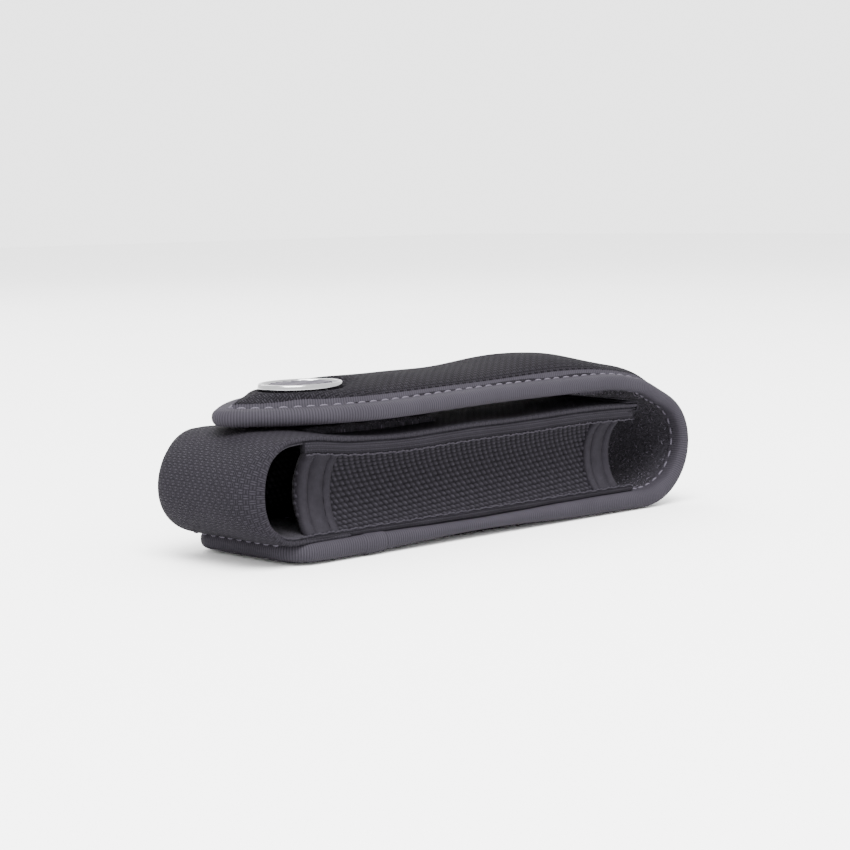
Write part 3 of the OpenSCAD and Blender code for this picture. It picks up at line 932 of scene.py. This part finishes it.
def make_gusset(side, word):
    """A side wall of coarse weave between two end tapes."""
    step = 0.25
    arc = 1.12 * (GUSSET_Z1 - GUSSET_Z0)
    x = np.arange(GUSSET_X0 + 1.4, GUSSET_X1 - 3.2, step)[:, None]
    x, t = spread(x, np.linspace(0, 1, int(arc / step))[None, :])
    along = x - GUSSET_X0
    up = t * arc
    lean = along + 0.8 * up
    height = weave_height(lean, up - 0.06 * along)
    seam = smooth(t, 0, 0.03) * smooth(1 - t, 0, 0.03)
    top = gusset(x, t, -0.35 + 0.5 * height * seam)
    back = gusset(x, t, -GUSSET_T)
    cloth = points_at(lean, up, height)
    piece = slab(f"gusset_{word}", flip(top, side), flip(back, side), cloth, MESH_CLOTH)
    ride(piece, "pouch", f"{word}_gusset", slot="gusset_mesh")


def make_end_tape(side, word, end, x_out, x_in):
    """Tape folded over a gusset's end: x_out is its folded edge and x_in its other edge."""
    length, bow = 18, 1.1
    way = 1 if x_in > x_out else -1
    width = abs(x_in - x_out)
    inner = -GUSSET_T - 0.45
    face = [
        (width, 0.12), (width - 0.12, 0.5), (width - 0.7, 0.62), (width - 1.82, 0.6),
        (width - 2.0, -0.1), (width - 2.18, 0.6), (width - 3.6, 0.64), (2.48, 0.64),
        (2.3, -0.1), (2.12, 0.74), (1.1, 0.95), (0.35, 0.78), (0.0, 0.3), (-0.12, -0.4),
        (0.05, inner + 0.3), (0.5, inner), (width - 0.3, inner), (width, inner + 0.2),
    ]
    across, out = np.array(face).T
    t = np.linspace(0.0, 1.0, 60)[:, None]
    x = x_out + way * across + bow * np.sin(math.pi * t)
    rings = flip(gusset(x, t, out - 0.05), side)
    cloth = points_at(across, length * t, 0)
    tape = tube(f"end_tape_{end}_{word}", rings, cloth, END_TAPE)
    ride(tape, "pouch", f"{word}_{end}_tape", slot="end_tape")
    rows = []
    # The rows sit in the tape's two grooves, in thread darkened as painted groove shade.
    for inward in (2.3, width - 2.0):
        def place(along, shift, up, inward=inward):
            t = along / length
            x = x_out + way * inward + shift + bow * np.sin(math.pi * t)
            return flip(gusset(x, t, 0.12 + up), side)

        rows += stitches(place, 0.8, length - 0.8, 2.6, 2.2, 0.2)
    ride(tubes(f"end_tape_stitches_{end}_{word}", rows, GROOVE_SHADE_THREAD), "pouch", slot="thread")


def hem_profile():
    """A unit square with round corners: its outline from the lowest outer corner."""
    radius = 0.45
    points = []
    for first, y, z in (
        (270, radius, radius), (180, radius, 1 - radius),
        (90, 1 - radius, 1 - radius), (0, 1 - radius, radius),
    ):
        for k in range(4):
            a = math.radians(first - 30 * k)
            points.append((y + radius * math.cos(a), z + radius * math.sin(a)))
    return np.array(points)


def hem(name, side, low, high, y_out, y_in):
    """A seam allowance along the pouch. low and high give its bottom and top at x."""
    profile = hem_profile()
    x = np.arange(X_END + 12.3, GUSSET_X1 + 3.0, 0.6)[:, None]
    y = y_out + (y_in - y_out) * profile[:, 0] + 0.08 * np.sin(x / 2.3)
    z = low(x) + (high(x) - low(x)) * profile[:, 1]
    girth = 0.35 * np.arange(1, len(profile) + 1)
    band = tube(name, flip(points_at(x, y, z), side), points_at(x, girth, 0), HEM_CLOTH)
    ride(band, "pouch", slot="nylon")


def frayed(name, side, y, height):
    """A thin ragged roll where the gusset's cut edge meets its seam. height gives its z at x."""
    x = np.arange(X_END + 12.5, GUSSET_X1 + 2.6, 0.18)[:, None]
    rough = 0.5 * np.sin(x * 5.3) + 0.3 * np.sin(x * 11.9 + 1) + 0.2 * np.sin(x * 23.1)
    radius = 0.13 + 0.08 * rough
    z = height(x) + 0.1 * np.sin(x * 1.9) + 0.12 * rough
    rings = points_at(x, y + radius * np.cos(SIX_TURNS), z + radius * np.sin(SIX_TURNS))
    cloth = points_at(rings[..., 0], rings[..., 2], 0)
    ride(tube(name, flip(rings, side), cloth, FRAY), "pouch", slot="thread")


def make_hems(side, word):
    """The seam allowances: a band under the strap's edge, and one on the back's binding."""
    def top_low(x):
        return GUSSET_Z1 - 0.2 + strap_rise(x)

    def top_high(x):
        return STRAP_TOP - 0.95 + strap_rise(x)

    def back_face(x):
        return panel(x - back_low.x, -GUSSET_EDGE, BOUND_T - 0.05)[..., 2]

    def gusset_foot(x):
        return GUSSET_Z0 + 0.25 + 0 * x

    out, inn = -STRAP_HALF, -GUSSET_EDGE
    hem(f"hem_top_{word}", side, top_low, top_high, out - 0.05, inn + 0.9)
    hem(f"hem_bottom_{word}", side, back_face, gusset_foot, out + 0.1, inn + 1.6)
    frayed(f"frayed_top_{word}", side, out, lambda x: top_low(x) - 0.12)
    frayed(f"frayed_bottom_{word}", side, out + 0.1, lambda x: gusset_foot(x) + 0.1)


def make_gussets():
    for side, word in ((1, "near"), (-1, "far")):
        make_gusset(side, word)
        make_end_tape(side, word, "bottom", GUSSET_X0 + 0.8, GUSSET_X0 + 9.2)
        make_end_tape(side, word, "mouth", GUSSET_X1 - 2.0, GUSSET_X1 - 10.0)
        make_hems(side, word)


# ---------------------------------------------------------------- badge
RIM_W = 1.0
RIM_MID = (rim_low + rim_high) / 2
RIM_A = (rim_high.x - rim_low.x) / 2
RIM_B = (rim_high.y - rim_low.y) / 2


def make_rim():
    """The badge's rounded oval rim."""
    tall = rim_high.z - rim_low.z
    profile = np.array([
        (0.0, 0.0), (0.0, 0.45), (0.1, 0.78), (0.3, 0.96), (0.5, 1.0),
        (0.7, 0.94), (0.88, 0.72), (RIM_W, 0.4), (RIM_W, 0.0),
    ])[:, :, None]
    count = 96
    turns = np.arange(count) * 2 * math.pi / count
    inset, height = profile[:, 0], tall * profile[:, 1]
    x = RIM_MID.x + (RIM_A - inset) * np.cos(turns)
    y = (RIM_B - inset) * np.sin(turns)
    rings = points_at(x, y, rim_low.z + height)
    faces = []
    for i in range(len(profile)):
        for j in range(count):
            a = i * count + j
            b = i * count + (j + 1) % count
            c = ((i + 1) % len(profile)) * count
            faces.append((a, b, c + (j + 1) % count, c + j))
    rim = make("badge_ring", rings, faces, rings, CHROME)
    ride(rim, "flap", "badge_rim", slot="badge_metal")


def make_field():
    """The badge's plain field of ribs, inside its rim."""
    rib_pitch, edge = 2.1, 0.9
    a, b = RIM_A - RIM_W - 0.05, RIM_B - RIM_W - 0.05
    v, u = spread(np.linspace(-1, 1, 61)[:, None], np.linspace(-1, 1, 161)[None, :])
    y = b * v
    x = a * np.sqrt(np.clip(1 - v**2, 0, 1)) * u
    inside = np.clip(1 - (x / (a - edge)) ** 2 - (y / (b - edge)) ** 2, 0, 1)
    rib = 0.5 + 0.5 * np.cos(2 * math.pi * x / rib_pitch)
    height = 0.45 + 0.8 * smooth(rib, 0.35, 0.75) * smooth(inside, 0.0, 0.12)
    top = points_at(x + RIM_MID.x, y, height + rim_low.z)
    base = points_at(x + RIM_MID.x, y, rim_low.z)
    field = slab("badge_field", top, base, points_at(x, y, height), FIELD)
    ride(field, "flap", "badge_plate", slot="badge_field")


def make_badge():
    make_rim()
    make_field()
    backing = frame["nodes"]["badge_backing"]
    backing.data.materials.clear()
    backing.data.materials.append(BACKING)


# ---------------------------------------------------------------- hook and loop
def make_loop_patch():
    """Loop pile, sewn to the strap."""
    low, high = corners("loop_patch")
    x, y = spread(np.linspace(low.x, high.x, 150)[:, None], np.linspace(low.y, high.y, 70)[None, :])
    pile = 0.25 * np.sin(x * 5.1 + 2 * np.sin(y * 3.7)) * np.sin(y * 5.7 + 2 * np.sin(x * 4.3))
    rim = smooth(x - low.x, 0, 0.8) * smooth(high.x - x, 0, 0.8)
    rim = rim * smooth(y - low.y, 0, 0.8) * smooth(high.y - y, 0, 0.8)
    top = points_at(x, y, low.z + 0.8 + (high.z - low.z - 1.1 + pile) * rim)
    base = points_at(x, y, low.z - 0.1)
    ride(slab("loop_pile", top, base, top, LINING), "pouch", "loop_patch", slot="loop")


def hook(foot, way):
    """Rings of one hook, bent towards way along the pouch."""
    width = 0.12
    square = np.array([(-1, -1), (1, -1), (1, 1), (-1, 1)]) * width
    bent = np.array([(0, 0), (0, -0.45), (0.12, -0.78), (0.36, -0.86), (0.5, -0.66)])[:, None, :]
    x = foot[0] + way * bent[..., 0] + square[:, 0]
    return points_at(x, foot[1] + square[:, 1], foot[2] + bent[..., 1])


def make_hook_patch():
    """Rows of hooks on a base that follows the flap's lining."""
    low, high = corners("hook_patch")
    x, y = spread(np.linspace(low.x, high.x, 40)[:, None], np.linspace(low.y, high.y, 20)[None, :])
    under = points_at(x, y, low.z + 0.9)
    upper = panel(S_FLAP + FOLD_X - x, y, 2.7)
    ride(slab("hook_base", upper, under, under, HOOK), "flap", "hook_patch", slot="hook")
    pitch = 1.1
    rows = []
    for i in range(int((high.x - low.x) / pitch) - 1):
        for j in range(int((high.y - low.y) / pitch) - 1):
            foot = (low.x + (i + 1) * pitch, low.y + (j + 1) * pitch, low.z + 0.95)
            rows.append(hook(foot, 1 if (i + j) % 2 else -1))
    ride(tubes("hook_points", rows, HOOK), "flap", slot="hook")


def make_tab():
    """A short ribbed tab sewn under the flap, behind the hook patch."""
    x0, x1, half, thick, coarse = FOLD_X - 18.5, FOLD_X - 10.0, 13.2, 1.1, 1.5
    x = np.append(np.arange(x0, x1, RIB_PITCH / 4), x1)[:, None]
    x, y = spread(x, np.linspace(-half, half, 25)[None, :])
    s = S_FLAP + FOLD_X - x
    rib = 0.12 * np.abs(np.sin(math.pi * x / (RIB_PITCH * coarse)))
    edge = smooth(x - x0, 0, 0.5) * smooth(x1 - x, 0, 0.5)
    low = panel(s, y, BOUND_T + (thick + rib) * edge + 0.05)
    top = panel(s, y, BOUND_T - 0.5)
    cloth = points_at(x / coarse, y, 0)
    ride(slab("flap_inner_tab", top, low, cloth, BINDING), "flap", slot="binding_tape")


# ---------------------------------------------------------------- belt loop
WEB_PITCH = 1.1


def webbing(name, x0, x1, z0, z1, half):
    """A stretch of ribbed webbing, with its ribs across the strap."""
    x = np.append(np.arange(x0, x1, WEB_PITCH / 6), x1)[:, None]
    thick = (z1 - z0) / 2
    middle = z0 + thick
    turns = np.linspace(0, math.pi, 7)[1:-1]
    flat = np.linspace(-half + thick, half - thick, 25)
    edge_y = half - thick + thick * np.sin(turns)
    edge_z = thick * np.cos(turns)
    y = np.concatenate([flat, edge_y, flat[::-1], -edge_y])
    z = np.concatenate([np.full(25, thick), edge_z, np.full(25, -thick), -edge_z])
    sink = 0.09 * (1 - np.abs(np.sin(math.pi * (x - x0) / WEB_PITCH)))
    rings = points_at(x, y, middle + z * (1 - sink / thick))
    return tube(name, rings, points_at(x - x0, y, 0), WEBBING)


def bartack(x, half):
    """Rings of a bartack's zigzag threads across the webbing at x."""
    count = 30
    t = np.linspace(-1, 1, 5)[:, None]
    threads = []
    for i in range(count):
        y = -half + 2 + (2 * half - 4) * i / (count - 1)
        lean = 0.8 if i % 2 else -0.8
        z = 0.16 - 0.12 * (1 - t**2) + 0.1 * np.sin(SIX_TURNS)
        threads.append(points_at(x + lean * t, y + 0.2 * np.cos(SIX_TURNS), np.maximum(z, 0.01)))
    return threads


def make_belt_loop():
    """Webbing sewn flat at both ends, and free between them to pass a belt."""
    middle = (web_low.x + web_high.x) / 2
    half = web_high.y
    for word, sign, node in (("top", 1, "belt_loop_top_end"), ("bottom", -1, "belt_loop_bottom_end")):
        low, high = corners(node)
        end = webbing(f"loop_end_{word}", low.x, high.x, 0.12, high.z, half)
        ride(end, "pouch", node, slot="webbing")
        seam = low.x if sign > 0 else high.x
        x0, x1 = sorted((middle, seam))
        strip = webbing(f"loop_web_{word}", x0, x1, 0.02, web_high.z, half - 0.02)
        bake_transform(strip)
        stand_for(("belt_loop_web",), "webbing")
        rows = bartack(low.x + 2.2, half) + bartack(high.x - 2.2, half)
        tack = tubes(f"bartack_threads_{word}", rows, THREAD)
        ride(tack, "pouch", *(("bartacks",) if sign > 0 else ()), slot="thread")


make_camera()
make_stage()
make_light("key", (-0.35, -0.45, 1.1), 55, 0.8)
make_light("rim", (0.3, 0.9, 0.9), 10, 0.8)
make_panel()
make_fibres()
make_binding()
make_panel_stitches()
make_strap()
make_mouth_binding()
make_gussets()
make_badge()
make_loop_patch()
make_hook_patch()
make_tab()
make_belt_loop()
